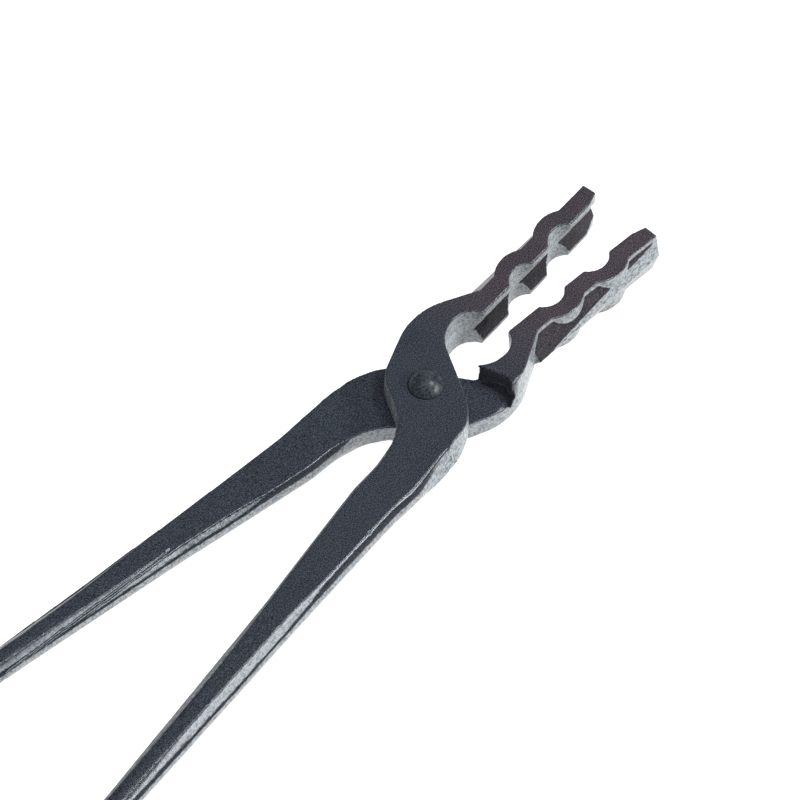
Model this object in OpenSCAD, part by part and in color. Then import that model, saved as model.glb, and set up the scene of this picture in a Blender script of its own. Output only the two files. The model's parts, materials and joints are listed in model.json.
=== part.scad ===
// Blacksmith's wolf-jaw tongs: two identical drop forgings turning on one rivet.
// Origin on the rivet axis, at the flat underside of the hammered head that the tongs lie on.
// +X runs along the centre line to the jaw tips, +Z up through the rivet's domed head.
// The sub-part modules place z = 0 where the two boss plates meet; mating_z lifts them.

/* [Overall] */
// Distance from the rivet axis to the jaw tips
jaw_reach = 110; // [106:1:116]
// Distance from the rivet axis to the rein ends
rein_reach = 290; // [240:5:340]
// Full height of the jaws, across both boss plates
jaw_h = 19.5; // [18:0.5:21]
// Swing of each half from the position where the grip lands are parallel
rest_swing = 3.75; // [0:0.25:8]

/* [Jaws] */
// Distance of a grip land from the centre line when the lands are parallel
land_y = 3.2; // [2.6:0.2:3.8]
// Thickness of the jaw bar between its grip lands and its outer face
bar_t = 8; // [7:0.2:9]
// Distance of the first grip notch from the rivet axis
notch_x = 61.2; // [59:0.2:62]
// Spacing of the grip notches
notch_pitch = 23.8; // [22:0.2:25]
// Number of round grip notches in front of the throat
notch_count = 2; // [1:1:2]
// Width of a grip notch where it meets the lands
notch_chord = 13.4; // [11:0.2:15]
// Depth of a grip notch
notch_depth = 3.4; // [2:0.1:4]
// Width of the outer bump that backs each notch
bump_chord = 16.5; // [15:0.5:19]
// Rise of the outer bump above the outer face
bump_rise = 2.8; // [1.5:0.1:3.5]
// Height of the mouth of the lengthwise V groove
groove_h = 15.6; // [12:0.2:16]
// Height of the outer ridge's foot
ridge_h = 16; // [13:0.5:17]
// Distance of the outer ridge from the centre line at the throat
ridge_root_y = 17.3; // [16:0.1:18]
// Distance of the outer ridge from the centre line at the tip
ridge_tip_y = 13.1; // [12:0.1:14]

/* [Reins] */
// Height of the rein where it leaves the boss
rein_h = 10; // [9:0.5:11.5]
// Diameter of the round rein end
grip_d = 10; // [9:0.5:11]
// Length of the straight round rein end
grip_len = 90; // [60:5:100]
// Distance of the rein end from the centre line when the lands are parallel
grip_y = 29; // [26:1:34]

/* [Rivet] */
// Diameter of the rivet shank
rivet_d = 8; // [7:0.5:9]
// Diameter of the rivet heads
head_d = 13.6; // [12:0.2:15]
// Height of the upper domed head
head_h = 4.2; // [3.5:0.1:5]
// Height of the hammered lower head
lower_head_h = 3; // [2:0.1:3.5]
// How much of the lower head's dome is hammered flat
lower_head_flat = 0.6; // [0.3:0.1:1]
// Radial running clearance of the upper half on the shank
running_gap = 0.05; // [0.02:0.01:0.1]
// Gap between the two boss plates
plate_gap = 0.1; // [0.05:0.01:0.2]

/* [Hidden] */
$fn = 96;

eps = 0.01;
half_h = jaw_h / 2;
plate_z = plate_gap / 2;
mating_z = half_h + lower_head_h;
bar_y = land_y + bar_t;
throat_x = 38.5;
tip_chamfer_len = 6.8;
tip_chamfer_depth = 1.7;
bump_lag = 1.2;
ridge_start_x = 41.8;
grip_start = [-(rein_reach - grip_len), -(grip_y - 5.8), 1.4];
grip_end = [-rein_reach + grip_d / 2, -grip_y, 0];
octagon_corner = 1 - 1 / sqrt(2);
octagon_end = 0.96 * grip_d;
steel = "#3d3f48";
rivet_steel = "#33353d";

// Points of an arc that rounds the corner at b, met from a and left towards c.
function unit(v) = v / norm(v);
function rounded_corner(a, b, c, r, steps = 10) =
    r == 0 ? [b] :
    let (
        u = unit(a - b),
        w = unit(c - b),
        half = acos(u * w) / 2,
        centre = b + unit(u + w) * r / sin(half),
        first = b + u * r / tan(half) - centre,
        last = b + w * r / tan(half) - centre,
        turn = 180 - 2 * half
    )
    [for (i = [0:steps])
        centre + (sin(turn * (1 - i / steps)) * first + sin(turn * i / steps) * last) / sin(turn)];

// Closed outline from corners [x, y, radius].
function rounded_outline(corners) =
    let (n = len(corners), p = [for (k = corners) [k[0], k[1]]])
    [for (i = [0:n - 1])
        each rounded_corner(p[(i + n - 1) % n], p[i], p[(i + 1) % n], corners[i][2])];

// Flat segment of a circle: chord along X, rising towards +Y.
module circle_segment(chord, rise) {
    r = (chord * chord / 4 + rise * rise) / (2 * rise);
    intersection() {
        translate([0, rise - r]) circle(r = r);
        translate([-chord / 2, -eps]) square([chord, rise + 2 * eps]);
    }
}

// Neck that carries the boss: an S bend from the rein root to the jaw root.
module neck_outline() {
    polygon(rounded_outline([
        [-27, -26.7, 0],
        [-13.5, -25.9, 30],
        [1, -21.2, 28],
        [21.7, land_y + 6.4, 13],
        [34.9, land_y + 6.4, 9],
        [throat_x, land_y, 0],
        [46.5, land_y, 0],
        [46.5, bar_y, 0],
        [22.9, 25.4, 29],
        [-6.8, 15.2, 14],
        [-16.7, 0, 6],
        [-27, -6, 0]
    ]));
}

// Jaw bar with its round notches, outer bumps and relieved inner tip corner.
module jaw_outline() {
    difference() {
        union() {
            translate([throat_x, land_y]) square([jaw_reach - throat_x, bar_t]);
            for (i = [0:notch_count - 1])
                translate([notch_x + bump_lag + i * notch_pitch, bar_y])
                    circle_segment(bump_chord, bump_rise);
        }
        for (i = [0:notch_count - 1])
            translate([notch_x + i * notch_pitch, land_y]) circle_segment(notch_chord, notch_depth);
        polygon([
            [jaw_reach - tip_chamfer_len, land_y - eps],
            [jaw_reach + eps, land_y + tip_chamfer_depth],
            [jaw_reach + eps, land_y - eps]
        ]);
    }
}

// Region beyond the shoulder, where the forging has its full height.
module jaw_side_of_shoulder() {
    polygon([
        [17.5, -2],
        [23.5, 18],
        [19.5, 30],
        [jaw_reach + 1, 30],
        [jaw_reach + 1, -2]
    ]);
}

module boss_plate() {
    translate([0, 0, plate_z]) linear_extrude(half_h - plate_z) {
        neck_outline();
        jaw_outline();
    }
}

module jaw_block() {
    translate([0, 0, -half_h]) linear_extrude(jaw_h)
        intersection() {
            union() {
                neck_outline();
                jaw_outline();
            }
            jaw_side_of_shoulder();
        }
}

// Thin slice of the outer ridge, standing across the jaw bar at x.
module ridge_slice(x, apex_y) {
    translate([x, 0, 0]) rotate([90, 0, 90]) linear_extrude(eps)
        polygon([
            [bar_y - 2, -ridge_h / 2],
            [bar_y, -ridge_h / 2],
            [apex_y, 0],
            [bar_y, ridge_h / 2],
            [bar_y - 2, ridge_h / 2]
        ]);
}

module outer_ridge() {
    hull() {
        ridge_slice(ridge_start_x, ridge_root_y);
        ridge_slice(jaw_reach - eps, ridge_tip_y);
    }
}

// Lengthwise V groove that seats round stock.
module v_groove() {
    translate([throat_x - 8, 0, 0]) rotate([90, 0, 90]) linear_extrude(jaw_reach)
        polygon([
            [land_y - 4, -groove_h / 2],
            [land_y, -groove_h / 2],
            [land_y + notch_depth, 0],
            [land_y, groove_h / 2],
            [land_y - 4, groove_h / 2]
        ]);
}

// Thin slice across the rein at [x, y, z, width, height, corner across, corner down].
module rein_slice(slice) {
    half_w = slice[3] / 2;
    half_z = slice[4] / 2;
    across = slice[5];
    down = slice[6];
    translate([slice[0], slice[1], slice[2]]) rotate([90, 0, 90]) linear_extrude(eps)
        polygon([
            [-half_w, down - half_z],
            [across - half_w, -half_z],
            [half_w - across, -half_z],
            [half_w, down - half_z],
            [half_w, half_z - down],
            [half_w - across, half_z],
            [across - half_w, half_z],
            [-half_w, half_z - down]
        ]);
}

// The rein narrows from the flat boss to a round bar and drifts to the mid height.
module rein() {
    rein_z = half_h - rein_h / 2;
    end_corner = octagon_corner * octagon_end;
    slices = [
        [-17, -13.4, (half_h + plate_z) / 2, 25.4, half_h - plate_z, 0.4, 0.4],
        [-26, -15.9, rein_z, 21.4, rein_h, 1.2, 2.4],
        [-38, -16.7, rein_z, 20.2, rein_h, 2, 3.6],
        [-50, -16.2, rein_z, 19.4, rein_h, 2.2, 4],
        [-78, -17.8, rein_z, 16.9, rein_h, 2.8, 4],
        [-106, -19.6, rein_z, 14.2, rein_h, 3.4, 3.8],
        [each grip_start, octagon_end, octagon_end, end_corner, end_corner]
    ];
    for (i = [0:len(slices) - 2])
        hull() {
            rein_slice(slices[i]);
            rein_slice(slices[i + 1]);
        }
    along_grip() {
        cylinder(d = grip_d, h = norm(grip_end - grip_start));
        translate([0, 0, norm(grip_end - grip_start)]) sphere(d = grip_d);
    }
}

// Stands its children on the start of the round rein end, with Z along the bar.
module along_grip() {
    run = grip_end - grip_start;
    translate(grip_start)
        rotate([0, acos(run[2] / norm(run)), atan2(run[1], run[0])])
            children();
}

// One forging, lands parallel to X: jaw on the +Y side, boss plate on the +Z side.
module forging(hole_r) {
    difference() {
        union() {
            boss_plate();
            jaw_block();
            outer_ridge();
            rein();
        }
        v_groove();
        translate([0, 0, -half_h]) cylinder(r = hole_r, h = 2 * jaw_h);
    }
}

module upper_half() {
    color(steel)
        translate([0, 0, mating_z])
            rotate([0, 0, rest_swing])
                forging(rivet_d / 2 + running_gap);
}

module lower_half() {
    color(steel)
        translate([0, 0, mating_z])
            rotate([180, 0, -rest_swing])
                forging(rivet_d / 2);
}

// Spherical cap of height h + flat standing on z = 0, cut off flat at h.
module dome(d, h, flat = 0) {
    full_h = h + flat;
    r = (d * d / 4 + full_h * full_h) / (2 * full_h);
    intersection() {
        translate([0, 0, full_h - r]) sphere(r = r);
        cylinder(r = r, h = h + (flat == 0 ? eps : 0));
    }
}

module rivet() {
    color(rivet_steel) translate([0, 0, mating_z]) {
        translate([0, 0, -half_h]) cylinder(d = rivet_d, h = jaw_h + running_gap);
        translate([0, 0, half_h + running_gap]) dome(head_d, head_h);
        translate([0, 0, -half_h]) mirror([0, 0, 1]) dome(head_d, lower_head_h, lower_head_flat);
    }
}

upper_half();
lower_half();
rivet();
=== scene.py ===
import json
import math

import bmesh
import bpy
import numpy as np
from mathutils import Matrix, Vector, noise


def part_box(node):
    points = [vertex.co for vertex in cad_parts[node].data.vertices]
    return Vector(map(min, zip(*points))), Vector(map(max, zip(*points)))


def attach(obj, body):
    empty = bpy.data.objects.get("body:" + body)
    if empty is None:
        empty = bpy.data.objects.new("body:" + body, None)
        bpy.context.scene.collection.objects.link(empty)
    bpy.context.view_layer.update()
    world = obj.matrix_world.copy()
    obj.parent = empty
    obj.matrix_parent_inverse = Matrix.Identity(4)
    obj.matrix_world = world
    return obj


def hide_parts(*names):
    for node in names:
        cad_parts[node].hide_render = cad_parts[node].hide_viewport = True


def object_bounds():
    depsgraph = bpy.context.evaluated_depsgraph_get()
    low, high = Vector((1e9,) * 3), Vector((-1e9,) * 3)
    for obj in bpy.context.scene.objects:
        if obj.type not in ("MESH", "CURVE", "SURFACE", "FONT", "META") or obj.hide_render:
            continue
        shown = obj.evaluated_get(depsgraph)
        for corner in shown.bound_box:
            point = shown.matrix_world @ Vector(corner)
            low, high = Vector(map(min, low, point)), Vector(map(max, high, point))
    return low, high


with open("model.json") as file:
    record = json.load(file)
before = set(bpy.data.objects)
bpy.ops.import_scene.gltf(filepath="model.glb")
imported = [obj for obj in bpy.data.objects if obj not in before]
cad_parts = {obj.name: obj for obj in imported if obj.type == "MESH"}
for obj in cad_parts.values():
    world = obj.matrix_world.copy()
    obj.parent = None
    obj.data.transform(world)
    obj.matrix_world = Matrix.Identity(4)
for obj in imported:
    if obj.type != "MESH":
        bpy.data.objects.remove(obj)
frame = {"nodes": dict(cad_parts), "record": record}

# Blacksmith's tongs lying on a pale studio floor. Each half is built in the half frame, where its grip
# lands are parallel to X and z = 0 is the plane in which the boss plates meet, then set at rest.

CAD_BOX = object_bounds()
MM = 0.001

# Measures of the frame
PIVOT = Vector(frame["record"]["behaviour"]["joints"][0]["pos_m"])
HALF_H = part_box("upper_half")[1].z - PIVOT.z
REST_SWING = math.radians(3.75)
PLATE_Z = 0.05 * MM

# Reading the CAD mesh
WELD_GAP = 0.002 * MM
CUT_GAP = 1e-7
CUT_SLACK = 0.01 * MM
TINY = 1e-6

# Forging
VOXEL = 0.42 * MM
SOFTENING_SHARE = 0.5
EDGE_SOFTENING_ROUNDS = 2
HEAD_END_X = -16.5 * MM
# Walls have a normal with |z| below WALL_NZ, sloped faces one between WALL_NZ and FLAT_NZ
WALL_NZ = 0.3
FLAT_NZ = 0.95
RIVET_HOLE_REACH = 5 * MM
NECK_DRAFT = 0.5 * MM
ROOT_DRAFT = 2.8 * MM
JAW_DRAFT = 0.3 * MM
ROOT_DRAFT_START_X = -2 * MM
ROOT_DRAFT_FULL_X = -16 * MM
NECK_END_X = 36 * MM
JAW_START_X = 46 * MM
# Along the shoulder, in millimetres: x and y of its wall, length of the ramp at its foot
SHOULDER_WALL = ((20.7, 8.4, 1.3), (21.8, 12, 1.9), (23.3, 18, 2.6), (21.4, 24, 2.2))
SHOULDER_FOOT_X = 20 * MM
SHOULDER_REACH = 5 * MM
SHOULDER_BACK_X = 26 * MM
SHOULDER_FADE = 1.5 * MM
SHOULDER_OUTER_Y = 23 * MM
SHOULDER_NX = -0.9
SHOULDER_RISE = 6 * MM
SHOULDER_CREST_SHIFT = 0.8 * MM
SHOULDER_WEDGE_DEPTH = 3 * MM
SHOULDER_FOOT_Z = 0.5 * MM
# Where the shoulder is smoothed: from none to all and back to none, in x and in y
SMOOTHED_X = (15 * MM, 17 * MM, 24 * MM, 28 * MM)
SMOOTHED_Y = (9 * MM, 13 * MM, 21 * MM, 24 * MM)
SMOOTHED_TOP_Z = 1 * MM
SMOOTHING_ROUNDS = 35
FLANK_INSET = 2.1 * MM
FLANK_START_X = -20 * MM
FLANK_FULL_X = -40 * MM
FACET_SIZE = 1.1 * MM
# Rein corners that turn into facets: side in y, side in z, first and full x in millimetres
FACETS = (
    (1, -1, -62, -84),
    (-1, 1, -76, -112),
    (1, 1, -88, -140),
    (-1, -1, -112, -150),
)
ROUND_START_X = -140 * MM
ROUND_FULL_X = -200 * MM
SECTION_SHARPNESS = 110
SECTION_STEPS = 96
STATION_STEP = 3 * MM
REIN_OVERLAP = 1 * MM
GRIP_PROBE = 6 * MM
DOME_STATIONS = 14
DOME_FIRST_ANGLE = 0.1
DOME_LAST_ANGLE = math.pi / 2 * 0.98

# Surface
FLASH_HEIGHT = 0.16 * MM
FLASH_WIDTH = 0.35 * MM
WAVE_HEIGHT = 0.07 * MM
WAVE_LENGTH = 7 * MM
SCALE_HEIGHT = 0.035 * MM
SCALE_LENGTH = 1.4 * MM
FLASH_RAGGED_LENGTH = 3 * MM
FLASH_MEAN = 0.6
FLASH_SPREAD = 0.5
# Range of 1 - |normal z| over which a wall is upright enough to carry the flash line
FLASH_UPRIGHT = (0.6, 0.95)
NOISE_STRIDES = (7.3, 3.1, 5.7)
UPPER_SEED = 1
LOWER_SEED = 20
REIN_MID_DROP = 5 * MM
PARTING_FALL_X = -30 * MM
PARTING_RISE_X = -10 * MM
MATING_DEPTH = 0.4 * MM
MATING_END_X = 14 * MM
MATING_NZ = -0.5

# Nicks and pits in millimetres in the half frame: x, y, z, radius, depth
UPPER_DENTS = [
    (35, 11.6, 6, 0.9, 0.4),
    (36.8, 8.3, 5, 0.8, 0.35),
    (31, 9.9, 7, 0.7, 0.3),
    (27, 9.2, 4, 0.7, 0.25),
    (-62, -24, 9.6, 0.6, 0.3),
]
LOWER_DENTS = [
    (-65.6, -10, -0.4, 0.8, 0.7),
    (19.6, 22.6, -9.6, 0.7, 0.8),
    (20, 24.2, -8.2, 0.8, 0.7),
    (21.8, 24.6, -7, 0.6, 0.4),
]

# Rivet
SHANK_SHARE = 8 / 13.6
RUNNING_GAP = 0.05 * MM
LOWER_FLAT = 0.6 * MM
DOME_STEPS = 16
RIVET_SEGMENTS = 96
HAMMER_HEIGHT = 0.06 * MM
HAMMER_LENGTH = 3.2 * MM
HAMMER_SEED = 11

# Ranges of |normal z| over which a steel tone comes in, or goes when the first value is the larger
# Upright walls in this range take the light wall colour: partly ground steel, partly painted reflection of
# the bright floor
WALL_GROUND_AND_REFLECTION_TILT = (0.38, 0.28)
# Sloped faces in this range get painted shade: their colour is darkened and their sheen lowered
PAINTED_SHADE_TILT_IN = (0.3, 0.39)
PAINTED_SHADE_TILT_OUT = (0.7, 0.66)
# 45 degree facets in this range get some of the light wall colour as a painted highlight
FACET_HIGHLIGHT_TILT_IN = (0.65, 0.69)
FACET_HIGHLIGHT_TILT_OUT = (0.86, 0.78)
# The skin turns warmer from boss to jaw over this range of x
WARM_X = (10 * MM, 55 * MM)

# Steel colours
SKIN_BLUE = (0.025, 0.030, 0.039, 1)
SKIN_WARM = (0.041, 0.034, 0.042, 1)
SKIN_BLACK = (0.019, 0.020, 0.025, 1)
# Light wall colours: partly ground steel, partly painted reflection of the bright floor
GROUND_AND_REFLECTION_DARK = (0.075, 0.09, 0.10, 1)
GROUND_AND_REFLECTION_LIGHT = (0.27, 0.295, 0.315, 1)
# Light colour for sharp edges: partly edge wear, partly a painted highlight along the edges
EDGE_WEAR_AND_HIGHLIGHT = (0.36, 0.38, 0.41, 1)
RIVET_DARK = (0.018, 0.023, 0.028, 1)
RIVET_LIGHT = (0.028, 0.033, 0.040, 1)
COOL_TINT = (0.93, 0.97, 1.0, 1)

# Camera, floor and light
CAMERA_AZIMUTH = math.radians(-47.6)
CAMERA_ELEVATION = math.radians(55)
CAMERA_DISTANCE = 1.0909
CAMERA_SHIFT_RIGHT = -9.38 * MM
CAMERA_SHIFT_UP = -0.03 * MM
CAMERA_LENS = 135
FLOOR_SIZE = 12
FLOOR_GREYS = ((0.28, 0.28, 0.28, 1), (0.32, 0.32, 0.32, 1))
WORLD_LEVEL = 0.08


def smoothstep(start, end, x):
    t = np.clip((x - start) / (end - start), 0, 1)
    return t * t * (3 - 2 * t)


def band(limits, x):
    """Rises from 0 to 1 between the first two limits and falls back to 0 between the last two."""
    rise_start, rise_end, fall_start, fall_end = limits
    return smoothstep(rise_start, rise_end, x) * smoothstep(fall_end, fall_start, x)


def to_rest(flipped):
    """Matrix from the half frame to the row frame; the lower half lies flipped about X."""
    turn = Matrix.Rotation(-REST_SWING if flipped else REST_SWING, 4, "Z")
    flip = Matrix.Rotation(math.pi, 4, "X") if flipped else Matrix.Identity(4)
    return Matrix.Translation(PIVOT) @ turn @ flip


def cad_half():
    """The CAD upper half, welded, in the half frame."""
    bm = bmesh.new()
    bm.from_mesh(frame["nodes"]["upper_half"].data)
    bmesh.ops.transform(bm, matrix=to_rest(False).inverted(), verts=bm.verts)
    bmesh.ops.remove_doubles(bm, verts=bm.verts, dist=WELD_GAP)
    return bm


def whole(bm):
    return bm.verts[:] + bm.edges[:] + bm.faces[:]


def section_box(bm, x):
    """Lowest and highest y and z of the solid where the plane at x cuts it."""
    cut = bmesh.ops.bisect_plane(
        bm, geom=whole(bm), plane_co=(x, 0, 0), plane_no=(1, 0, 0), dist=CUT_GAP
    )
    points = np.array([v.co for v in cut["geom_cut"] if isinstance(v, bmesh.types.BMVert)])
    return points[:, 1:].min(0), points[:, 1:].max(0)


# ---------------------------------------------------------------- forging

def head_block(bm):
    """Jaw, neck and boss: the CAD half without its rein, its walls leaning in like a drop forging's."""
    cut = bmesh.ops.bisect_plane(
        bm, geom=whole(bm), plane_co=(HEAD_END_X, 0, 0), plane_no=(-1, 0, 0), clear_outer=True
    )
    bmesh.ops.holes_fill(bm, edges=[e for e in cut["geom_cut"] if isinstance(e, bmesh.types.BMEdge)])
    bmesh.ops.bisect_plane(bm, geom=whole(bm), plane_co=(0, 0, 0), plane_no=(0, 0, 1), dist=TINY)
    bm.normal_update()
    moves = {v: draft_move(v) for v in bm.verts}
    for v, move in moves.items():
        v.co += move
    shoulder_ramp(bm)
    return bm


def neck_draft(x, outer):
    """How far the walls of neck and boss lean in over their height, more so outside the rein's root."""
    rootward = float(smoothstep(-ROOT_DRAFT_START_X, -ROOT_DRAFT_FULL_X, -x))
    return NECK_DRAFT + (ROOT_DRAFT - NECK_DRAFT) * outer * rootward


def draft_move(v):
    """How far a wall's point leans in for the forging draft; the rivet hole, grooves and ridge stay."""
    walls = [f for f in v.link_faces if abs(f.normal.z) < WALL_NZ and not is_end_face(f)]
    sloped = any(WALL_NZ < abs(f.normal.z) < FLAT_NZ for f in v.link_faces)
    if not walls or sloped or v.co.xy.length < RIVET_HOLE_REACH:
        return Vector()
    outward = sum((f.normal * f.calc_area() for f in walls), Vector())
    outward.z = 0
    jawward = float(smoothstep(NECK_END_X, JAW_START_X, v.co.x))
    draft = neck_draft(v.co.x, outward.y < 0) + (JAW_DRAFT - NECK_DRAFT) * jawward
    return outward.normalized() * (-draft * abs(v.co.z) / HALF_H)


def is_end_face(face):
    """Whether a face is the cut at the rein's root or the shoulder, which do not lean with the walls."""
    x, _, z = face.calc_center_median()
    at_shoulder = face.normal.x < SHOULDER_NX and abs(x - SHOULDER_FOOT_X) < SHOULDER_REACH and z < 0
    return at_shoulder or x < HEAD_END_X + CUT_SLACK


def shoulder_ramp(target):
    """Adds a wedge along the shoulder's foot, so that the plate slopes up to the jaw.

    Its outer end stands a little past the forging's outline."""
    rows = []
    for x, y, ramp in SHOULDER_WALL:
        foot = (x * MM - ramp * MM, y * MM, SHOULDER_FOOT_Z)
        crest = (x * MM + SHOULDER_CREST_SHIFT, y * MM, -SHOULDER_RISE)
        back = (x * MM + SHOULDER_WEDGE_DEPTH, y * MM, SHOULDER_FOOT_Z)
        rows.append([target.verts.new(p) for p in (foot, crest, back)])
    wedge = [target.faces.new(rows[0]), target.faces.new(rows[-1])]
    for near, far in zip(rows, rows[1:]):
        for i in range(3):
            j = (i + 1) % 3
            wedge.append(target.faces.new((near[i], near[j], far[j], far[i])))
    bmesh.ops.recalc_face_normals(target, faces=wedge)


def rein_outline(half_w, half_h, x):
    """Closed section about its centre, forged along most of the rein and round at its end."""
    angles = np.arange(SECTION_STEPS) * 2 * math.pi / SECTION_STEPS
    across, down = np.abs(np.cos(angles)), np.abs(np.sin(angles))
    radius = 1 / np.hypot(across / half_w, down / half_h)
    forged = 1 - float(smoothstep(ROUND_START_X, ROUND_FULL_X, x))
    if forged > 0:
        radius += forged * (forged_radius(half_w, half_h, x, angles) - radius)
    return radius * np.cos(angles), radius * np.sin(angles)


def forged_radius(half_w, half_h, x, angles):
    """Distance from the section's centre to its forged faces.

    Top and bottom are flat. The flanks lean like the boss plate's walls at first and bulge further back,
    where the corners turn one by one into 45 degree facets."""
    free = float(smoothstep(FLANK_START_X, FLANK_FULL_X, x))
    across, down = np.abs(np.cos(angles)), np.abs(np.sin(angles))
    draft = neck_draft(x, np.cos(angles) < 0)
    lean = draft / (2 * half_h)
    leaning = (half_w - lean * half_h) / np.maximum(across + lean * np.sin(angles), TINY)
    curve = FLANK_INSET * (down / half_h) ** 2
    bulging = 2 * half_w / (across + np.sqrt(across ** 2 + 4 * curve * half_w))
    flank = np.where(across > TINY, leaning + free * (bulging - leaning), bulging)
    radii = [flank, half_h / np.maximum(down, TINY)]
    for side_y, side_z, start, full in FACETS:
        facet = FACET_SIZE * float(smoothstep(-start, -full, -x / MM))
        inset = draft * (1 - free) * (side_z > 0) + FLANK_INSET * free
        here = (np.cos(angles) * side_y > 0) & (np.sin(angles) * side_z > 0)
        radii.append(np.where(here, (half_w - inset - facet + half_h) / (across + down), np.inf))
    least = np.min(radii, axis=0)
    shares = sum((least / r) ** SECTION_SHARPNESS for r in radii)
    return least * shares ** (-1 / SECTION_SHARPNESS)


def rein_stations(end_x, end_r):
    """Station positions: even steps along the rein, then closing in over the domed end."""
    start = HEAD_END_X + REIN_OVERLAP
    count = int((start - (end_x + end_r)) / STATION_STEP)
    even = np.linspace(start, end_x + end_r, count)
    dome = end_x + end_r * (1 - np.sin(np.linspace(DOME_FIRST_ANGLE, DOME_LAST_ANGLE, DOME_STATIONS)))
    return np.concatenate([even, dome])


def rein_loft(cad, target):
    """Adds the rein to target, a lofted bar that follows the CAD rein's box at every station."""
    end_x = min(v.co.x for v in cad.verts)
    end_lo, end_hi = section_box(cad, end_x + GRIP_PROBE)
    end_r = (end_hi[0] - end_lo[0]) / 2
    rings = []
    for x in rein_stations(end_x, end_r):
        lo, hi = section_box(cad, x)
        half_w, half_h = (hi - lo) / 2
        y, z = rein_outline(half_w, half_h, x)
        mid = (hi + lo) / 2
        rings.append([target.verts.new((x, mid[0] + a, mid[1] + b)) for a, b in zip(y, z)])
    for near, far in zip(rings, rings[1:]):
        for i in range(SECTION_STEPS):
            j = (i + 1) % SECTION_STEPS
            target.faces.new((near[i], near[j], far[j], far[i]))
    target.faces.new(rings[0])
    target.faces.new(rings[-1])
    bmesh.ops.recalc_face_normals(target, faces=target.faces[:])


def object_from(bm, name):
    mesh = bpy.data.meshes.new(name)
    bm.to_mesh(mesh)
    obj = bpy.data.objects.new(name, mesh)
    bpy.context.scene.collection.objects.link(obj)
    return obj


def applied(obj):
    """A plain mesh of obj with its modifiers, removing obj."""
    evaluated = obj.evaluated_get(bpy.context.evaluated_depsgraph_get())
    mesh = bpy.data.meshes.new_from_object(evaluated)
    bpy.data.objects.remove(obj)
    return mesh


def forging_mesh():
    """One forging as a fine mesh in the half frame: head and rein fused, edges rounded soft."""
    head = head_block(cad_half())
    rein = bmesh.new()
    rein_loft(cad_half(), rein)
    part = bpy.data.meshes.new("rein")
    rein.to_mesh(part)
    head.from_mesh(part)
    bmesh.ops.triangulate(head, faces=head.faces[:])
    obj = object_from(head, "forging")
    fuse = obj.modifiers.new("fuse", "REMESH")
    fuse.mode = "VOXEL"
    fuse.voxel_size = VOXEL
    mesh = applied(obj)
    co, _ = points_of(mesh)
    co = relaxed(mesh, co, np.full(len(co), SOFTENING_SHARE), EDGE_SOFTENING_ROUNDS)
    shoulder = band(SMOOTHED_X, co[:, 0]) * band(SMOOTHED_Y, co[:, 1]) * (co[:, 2] < SMOOTHED_TOP_Z)
    co = relaxed(mesh, co, SOFTENING_SHARE * shoulder, SMOOTHING_ROUNDS)
    mesh.vertices.foreach_set("co", co.ravel())
    mesh.update()
    mark_shaded_shoulder(mesh, co)
    return mesh


def relaxed(mesh, co, share, rounds):
    """Points after each has moved its share of the way to the middle of its neighbours, rounds times."""
    ends = np.empty(len(mesh.edges) * 2, int)
    mesh.edges.foreach_get("vertices", ends)
    a, b = ends.reshape(-1, 2).T
    count = np.bincount(ends, minlength=len(co))
    for _ in range(rounds):
        for k in range(3):
            total = np.bincount(a, co[b, k], len(co)) + np.bincount(b, co[a, k], len(co))
            co[:, k] += share * (total / count - co[:, k])
    return co


def mark_shaded_shoulder(mesh, co):
    """Stores how far each point belongs to the shoulder, which keeps the dark skin colour as painted shade.
    """
    fade = smoothstep(SHOULDER_BACK_X, SHOULDER_BACK_X - SHOULDER_FADE, co[:, 0])
    near = fade * (co[:, 0] > SHOULDER_FOOT_X - SHOULDER_REACH)
    wall = near * (co[:, 2] < SHOULDER_FOOT_Z) * (co[:, 1] < SHOULDER_OUTER_Y)
    mesh.attributes.new("shoulder", "FLOAT", "POINT").data.foreach_set("value", wall)


def points_of(mesh):
    co = np.empty(len(mesh.vertices) * 3)
    mesh.vertices.foreach_get("co", co)
    normals = np.array([v.vector for v in mesh.vertex_normals])
    return co.reshape(-1, 3), normals


def noise_field(co, length, seed):
    """Smooth noise from -1 to 1 with features of the given length."""
    offset = Vector([seed * stride for stride in NOISE_STRIDES])
    return np.array([noise.noise(Vector(p) / length + offset) for p in co])


def parting_z(x):
    """Height of the flash line left by trimming: mid height of the jaws, mid height of the rein behind the
    boss.
    """
    return (HALF_H - REIN_MID_DROP) * (1 - smoothstep(PARTING_FALL_X, PARTING_RISE_X, x))


def dented(co, dents):
    """Depth of the nicks and pits at each point; a dent is (x, y, z, radius, depth)."""
    depth = np.zeros(len(co))
    for x, y, z, radius, deep in dents:
        gap = np.linalg.norm(co - np.array((x, y, z)) * MM, axis=1) / (radius * MM)
        depth += deep * MM * np.exp(-gap * gap)
    return depth


def weathered(mesh, seed, dents):
    """A copy of the forging with the uneven skin, scale, flash line and dents of its own."""
    mesh = mesh.copy()
    co, normals = points_of(mesh)
    upright = 1 - np.abs(normals[:, 2])
    skin = WAVE_HEIGHT * noise_field(co, WAVE_LENGTH, seed)
    skin += SCALE_HEIGHT * noise_field(co, SCALE_LENGTH, seed + 1)
    gap = (co[:, 2] - parting_z(co[:, 0])) / FLASH_WIDTH
    ragged = FLASH_MEAN + FLASH_SPREAD * noise_field(co, FLASH_RAGGED_LENGTH, seed + 2)
    skin += FLASH_HEIGHT * np.exp(-gap * gap) * ragged * smoothstep(*FLASH_UPRIGHT, upright)
    skin -= dented(co, dents)
    at_plate = (np.abs(co[:, 2] - PLATE_Z) < MATING_DEPTH) & (co[:, 0] < MATING_END_X)
    mating = at_plate & (normals[:, 2] < MATING_NZ)
    skin[mating] = 0
    co = co + normals * skin[:, None]
    co[mating, 2] = PLATE_Z
    mesh.vertices.foreach_set("co", co.ravel())
    return mesh


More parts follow.
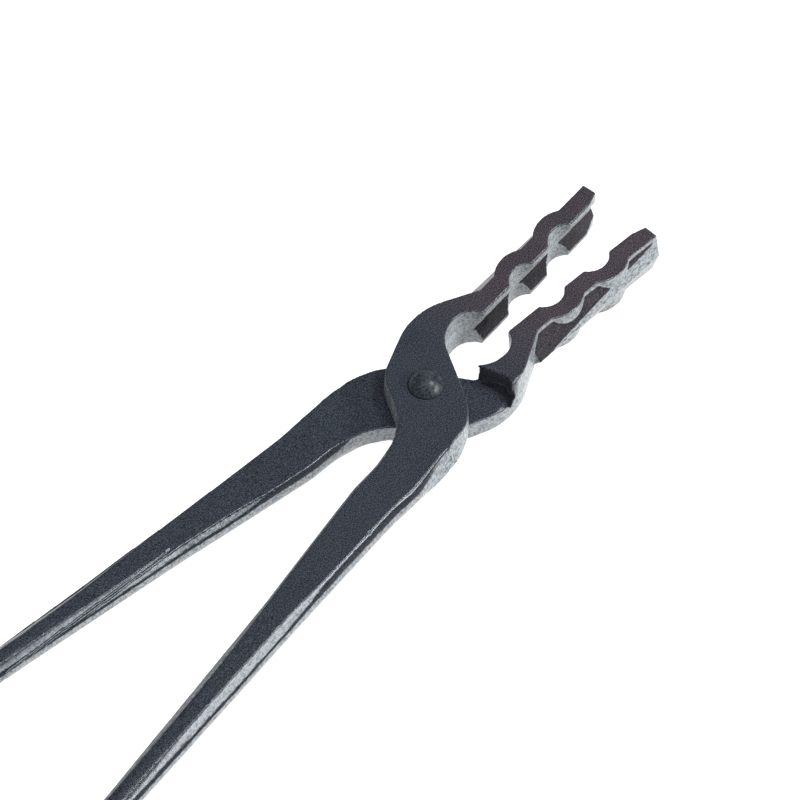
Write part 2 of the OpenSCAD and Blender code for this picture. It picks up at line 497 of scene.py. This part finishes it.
def place_half(body, forging, seed, dents, flipped, material):
    mesh = weathered(forging, seed, dents)
    mesh.transform(to_rest(flipped))
    mesh.materials.clear()
    mesh.materials.append(material)
    mesh.shade_smooth()
    obj = bpy.data.objects.new(body + "_half_forged", mesh)
    bpy.context.scene.collection.objects.link(obj)
    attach(obj, body)
    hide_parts(body + "_half")


# ---------------------------------------------------------------- rivet

def dome_profile(radius, height, flat):
    """(r, z) points from the rim of a spherical cap to its axis; flat is what is hammered off its top."""
    full = height + flat
    ball = (radius ** 2 + full ** 2) / (2 * full)
    rim_angle = math.asin(radius / ball)
    points = []
    for i in range(DOME_STEPS + 1):
        a = rim_angle * (1 - i / DOME_STEPS)
        points.append((ball * math.sin(a), min(ball * math.cos(a) - (ball - full), height)))
    return points


def rivet_mesh():
    """The rivet as one turned solid: flattened lower head, shank and domed upper head, hand hammered."""
    lo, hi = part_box("rivet")
    head_r = (hi.x - lo.x) / 2
    shank_r = head_r * SHANK_SHARE
    seat = HALF_H + RUNNING_GAP
    under = [(r, PIVOT.z - HALF_H - z) for r, z in dome_profile(head_r, PIVOT.z - HALF_H, LOWER_FLAT)]
    over = [(r, PIVOT.z + seat + z) for r, z in dome_profile(head_r, hi.z - PIVOT.z - seat, 0)]
    profile = under[::-1] + [(shank_r, PIVOT.z - HALF_H), (shank_r, PIVOT.z + seat)] + over
    bm = bmesh.new()
    rings = []
    turn = [2 * math.pi * i / RIVET_SEGMENTS for i in range(RIVET_SEGMENTS)]
    for r, z in profile[1:-1]:
        rings.append([bm.verts.new((r * math.cos(t), r * math.sin(t), z)) for t in turn])
    for near, far in zip(rings, rings[1:]):
        for i in range(RIVET_SEGMENTS):
            j = (i + 1) % RIVET_SEGMENTS
            bm.faces.new((near[i], near[j], far[j], far[i]))
    for ring, (_, z) in ((rings[0], profile[0]), (rings[-1], profile[-1])):
        tip = bm.verts.new((0, 0, z))
        for i in range(RIVET_SEGMENTS):
            bm.faces.new((ring[i], ring[(i + 1) % RIVET_SEGMENTS], tip))
    bmesh.ops.recalc_face_normals(bm, faces=bm.faces[:])
    mesh = bpy.data.meshes.new("rivet")
    bm.to_mesh(mesh)
    co, normals = points_of(mesh)
    hammered = HAMMER_HEIGHT * noise_field(co, HAMMER_LENGTH, HAMMER_SEED)
    co = co + normals * hammered[:, None]
    mesh.vertices.foreach_set("co", co.ravel())
    return mesh


def place_rivet(material):
    mesh = rivet_mesh()
    mesh.materials.append(material)
    mesh.shade_smooth()
    obj = bpy.data.objects.new("rivet_turned", mesh)
    bpy.context.scene.collection.objects.link(obj)
    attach(obj, "lower")
    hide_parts("rivet")


# ---------------------------------------------------------------- materials

class Tree:
    """Short names for the few node kinds that the materials use."""

    def __init__(self, name):
        self.material = bpy.data.materials.new(name)
        self.material.use_nodes = True
        self.nodes = self.material.node_tree.nodes
        self.links = self.material.node_tree.links
        self.shader = self.nodes["Principled BSDF"]
        self.place = self.nodes.new("ShaderNodeTexCoord").outputs["Object"]

    def set(self, socket, value):
        if isinstance(value, bpy.types.NodeSocket):
            self.links.new(value, socket)
        else:
            socket.default_value = value

    def noise(self, length, detail=2.0, roughness=0.5):
        node = self.nodes.new("ShaderNodeTexNoise")
        node.inputs["Scale"].default_value = 1 / length
        node.inputs["Detail"].default_value = detail
        node.inputs["Roughness"].default_value = roughness
        self.links.new(self.place, node.inputs["Vector"])
        return node.outputs["Fac"]

    def math(self, operation, a, b=0.0):
        node = self.nodes.new("ShaderNodeMath")
        node.operation = operation
        self.set(node.inputs[0], a)
        self.set(node.inputs[1], b)
        return node.outputs[0]

    def stretch(self, value, start, end, low=0.0, high=1.0):
        node = self.nodes.new("ShaderNodeMapRange")
        node.interpolation_type = "SMOOTHSTEP"
        names = ("Value", "From Min", "From Max", "To Min", "To Max")
        for name, v in zip(names, (value, start, end, low, high)):
            self.set(node.inputs[name], v)
        return node.outputs[0]

    def mix(self, share, a, b, blend="MIX"):
        node = self.nodes.new("ShaderNodeMix")
        node.data_type = "RGBA"
        node.blend_type = blend
        self.set(node.inputs[0], share)
        self.set(node.inputs[6], a)
        self.set(node.inputs[7], b)
        return node.outputs[2]

    def axis(self, name):
        node = self.nodes.new("ShaderNodeSeparateXYZ")
        self.links.new(self.place, node.inputs[0])
        return node.outputs[name]

    def normal_z(self):
        node = self.nodes.new("ShaderNodeSeparateXYZ")
        self.links.new(self.nodes.new("ShaderNodeNewGeometry").outputs["Normal"], node.inputs[0])
        return node.outputs["Z"]

    def attribute(self, name):
        node = self.nodes.new("ShaderNodeAttribute")
        node.attribute_name = name
        return node.outputs["Fac"]

    def pointiness(self):
        return self.nodes.new("ShaderNodeNewGeometry").outputs["Pointiness"]

    def bump(self, height, distance, strength, normal=None):
        node = self.nodes.new("ShaderNodeBump")
        node.inputs["Distance"].default_value = distance
        node.inputs["Strength"].default_value = strength
        self.links.new(height, node.inputs["Height"])
        if normal is not None:
            self.links.new(normal, node.inputs["Normal"])
        return node.outputs[0]


def forged_steel():
    """Blackened forging skin with a fine stipple and a little warmer on the jaws; sloped faces get painted
    shade.

    Upright walls get a light colour that is partly ground steel and partly painted reflection of the bright
    floor, and 45 degree facets a little of it as a painted highlight; the shoulder keeps the dark skin
    colour as painted shade. Sharp edges are lightened, partly wear and partly painted highlight."""
    t = Tree("forged_steel")
    grain = t.noise(0.45 * MM, 3, 0.8)
    scratches = t.noise(1.2 * MM, 4, 0.75)
    cloud = t.noise(14 * MM, 4, 0.6)
    tilt = t.math("ABSOLUTE", t.normal_z())
    # Mask of the sloped faces that get painted shade
    sloped = t.math("MULTIPLY", t.stretch(tilt, *PAINTED_SHADE_TILT_IN), t.stretch(tilt, *PAINTED_SHADE_TILT_OUT))
    # The shoulder is left out of the light wall and facet colours: painted shade at the step up to the jaw
    outside_shaded_shoulder = t.math("SUBTRACT", 1.0, t.attribute("shoulder"))
    upright = t.math("MULTIPLY", t.stretch(tilt, *WALL_GROUND_AND_REFLECTION_TILT), outside_shaded_shoulder)
    # Painted highlight: the 45 degree facets get some of the light wall colour
    facet = t.math("MULTIPLY", t.stretch(tilt, *FACET_HIGHLIGHT_TILT_IN), t.stretch(tilt, *FACET_HIGHLIGHT_TILT_OUT))
    facet = t.math("MULTIPLY", facet, t.math("MULTIPLY", outside_shaded_shoulder, 0.4))
    warm = t.stretch(t.axis("X"), *WARM_X)
    skin = t.mix(warm, SKIN_BLUE, SKIN_WARM)
    skin = t.mix(t.stretch(cloud, 0.35, 0.7, 0, 0.3), skin, SKIN_BLACK)
    skin = t.mix(1.0, skin, t.stretch(grain, 0.34, 0.66, 0.1, 1.95), "MULTIPLY")
    # Painted shade: sloped faces darkened
    skin = t.mix(1.0, skin, t.stretch(sloped, 0, 1, 1, 0.6), "MULTIPLY")
    # Wall colour: partly ground steel, partly painted reflection of the bright floor
    ground = t.mix(t.stretch(scratches, 0.36, 0.6), GROUND_AND_REFLECTION_DARK, GROUND_AND_REFLECTION_LIGHT)
    # Sharp edges lightened: partly edge wear, partly a painted highlight where the edges catch the light
    wear_and_highlight = t.math("MULTIPLY", t.stretch(t.pointiness(), 0.54, 0.62), 0.4)
    base = t.mix(t.math("MAXIMUM", upright, facet), skin, ground)
    base = t.mix(wear_and_highlight, base, EDGE_WEAR_AND_HIGHLIGHT)
    shine = t.stretch(grain, 0.34, 0.66, 0.34, 0.6)
    t.set(t.shader.inputs["Base Color"], base)
    t.set(t.shader.inputs["Roughness"], t.stretch(grain, 0.3, 0.7, 0.2, 0.3))
    # Sheen lowered on the sloped faces along with their painted shade
    t.set(t.shader.inputs["Specular IOR Level"], t.math("MULTIPLY", shine, t.stretch(sloped, 0, 1, 1, 0.4)))
    t.set(t.shader.inputs["Specular Tint"], COOL_TINT)
    t.set(t.shader.inputs["Normal"], t.bump(scratches, 0.05 * MM, 0.6, t.bump(grain, 0.05 * MM, 0.8)))
    return t.material


def rivet_steel():
    """The rivet's hammered head: darker and smoother than the forgings."""
    t = Tree("rivet_steel")
    grain = t.noise(0.7 * MM, 2, 0.7)
    cloud = t.noise(3 * MM, 3, 0.6)
    base = t.mix(t.stretch(cloud, 0.3, 0.7), RIVET_DARK, RIVET_LIGHT)
    base = t.mix(1.0, base, t.stretch(grain, 0.36, 0.64, 0.4, 1.8), "MULTIPLY")
    t.set(t.shader.inputs["Base Color"], base)
    t.set(t.shader.inputs["Roughness"], t.stretch(cloud, 0.3, 0.7, 0.3, 0.4))
    t.set(t.shader.inputs["Specular IOR Level"], 0.3)
    t.set(t.shader.inputs["Normal"], t.bump(cloud, 0.1 * MM, 0.5, t.bump(grain, 0.04 * MM, 0.8)))
    return t.material


def floor_white():
    """A floor that glows a little, so that it stays white and shows no shadows, as in a cut-out photo."""
    t = Tree("floor_white")
    t.set(t.shader.inputs["Base Color"], t.mix(t.noise(0.3), *FLOOR_GREYS))
    t.set(t.shader.inputs["Roughness"], 0.9)
    t.set(t.shader.inputs["Specular IOR Level"], 0.0)
    t.set(t.shader.inputs["Emission Color"], (1, 1, 1, 1))
    t.set(t.shader.inputs["Emission Strength"], 1.0)
    return t.material


# ---------------------------------------------------------------- studio

def view_axes(azimuth, elevation):
    """Right, up and back directions of a view."""
    turn = Matrix.Rotation(azimuth, 3, "Z") @ Matrix.Rotation(math.pi / 2 - elevation, 3, "X")
    return turn.col[0], turn.col[1], turn.col[2]


def add_floor():
    bm = bmesh.new()
    bmesh.ops.create_grid(bm, x_segments=4, y_segments=4, size=FLOOR_SIZE / 2)
    floor = object_from(bm, "floor")
    floor.location.z = CAD_BOX[0].z
    floor.data.materials.append(floor_white())


def add_softbox(name, azimuth, elevation, distance, size, power, mirrored=True):
    """An area light that looks at the pivot from the given side; an unmirrored one leaves no highlights."""
    lamp = bpy.data.lights.new(name, "AREA")
    lamp.shape = "RECTANGLE"
    lamp.size, lamp.size_y = size
    lamp.energy = power
    obj = bpy.data.objects.new(name, lamp)
    _, _, back = view_axes(math.radians(azimuth), math.radians(elevation))
    obj.location = PIVOT + back * distance
    obj.rotation_euler = (math.pi / 2 - math.radians(elevation), 0, math.radians(azimuth))
    obj.visible_camera = False
    obj.visible_glossy = mirrored
    bpy.context.scene.collection.objects.link(obj)


def add_camera():
    right, up, back = view_axes(CAMERA_AZIMUTH, CAMERA_ELEVATION)
    camera = bpy.data.cameras.new("camera")
    camera.lens = CAMERA_LENS
    obj = bpy.data.objects.new("camera", camera)
    obj.location = PIVOT + back * CAMERA_DISTANCE + right * CAMERA_SHIFT_RIGHT + up * CAMERA_SHIFT_UP
    obj.rotation_euler = (math.pi / 2 - CAMERA_ELEVATION, 0, CAMERA_AZIMUTH)
    bpy.context.scene.collection.objects.link(obj)
    bpy.context.scene.camera = obj


def set_world(level):
    world = bpy.data.worlds.new("studio")
    world.use_nodes = True
    world.node_tree.nodes["Background"].inputs["Color"].default_value = (level, level, level * 1.03, 1)
    bpy.context.scene.world = world


def build_tongs():
    forging = forging_mesh()
    steel = forged_steel()
    place_half("upper", forging, UPPER_SEED, UPPER_DENTS, flipped=False, material=steel)
    place_half("lower", forging, LOWER_SEED, LOWER_DENTS, flipped=True, material=steel)
    place_rivet(rivet_steel())


def build_studio():
    add_floor()
    set_world(WORLD_LEVEL)
    add_softbox("fill", azimuth=-47, elevation=86, distance=2.4, size=(2.0, 2.0), power=60, mirrored=False)
    add_softbox("key", azimuth=51, elevation=62, distance=1.8, size=(0.26, 0.26), power=16)
    add_softbox("panel", azimuth=27, elevation=27, distance=2.2, size=(1.1, 0.4), power=38)
    add_camera()
    bpy.context.scene.view_settings.view_transform = "Standard"


build_tongs()
build_studio()
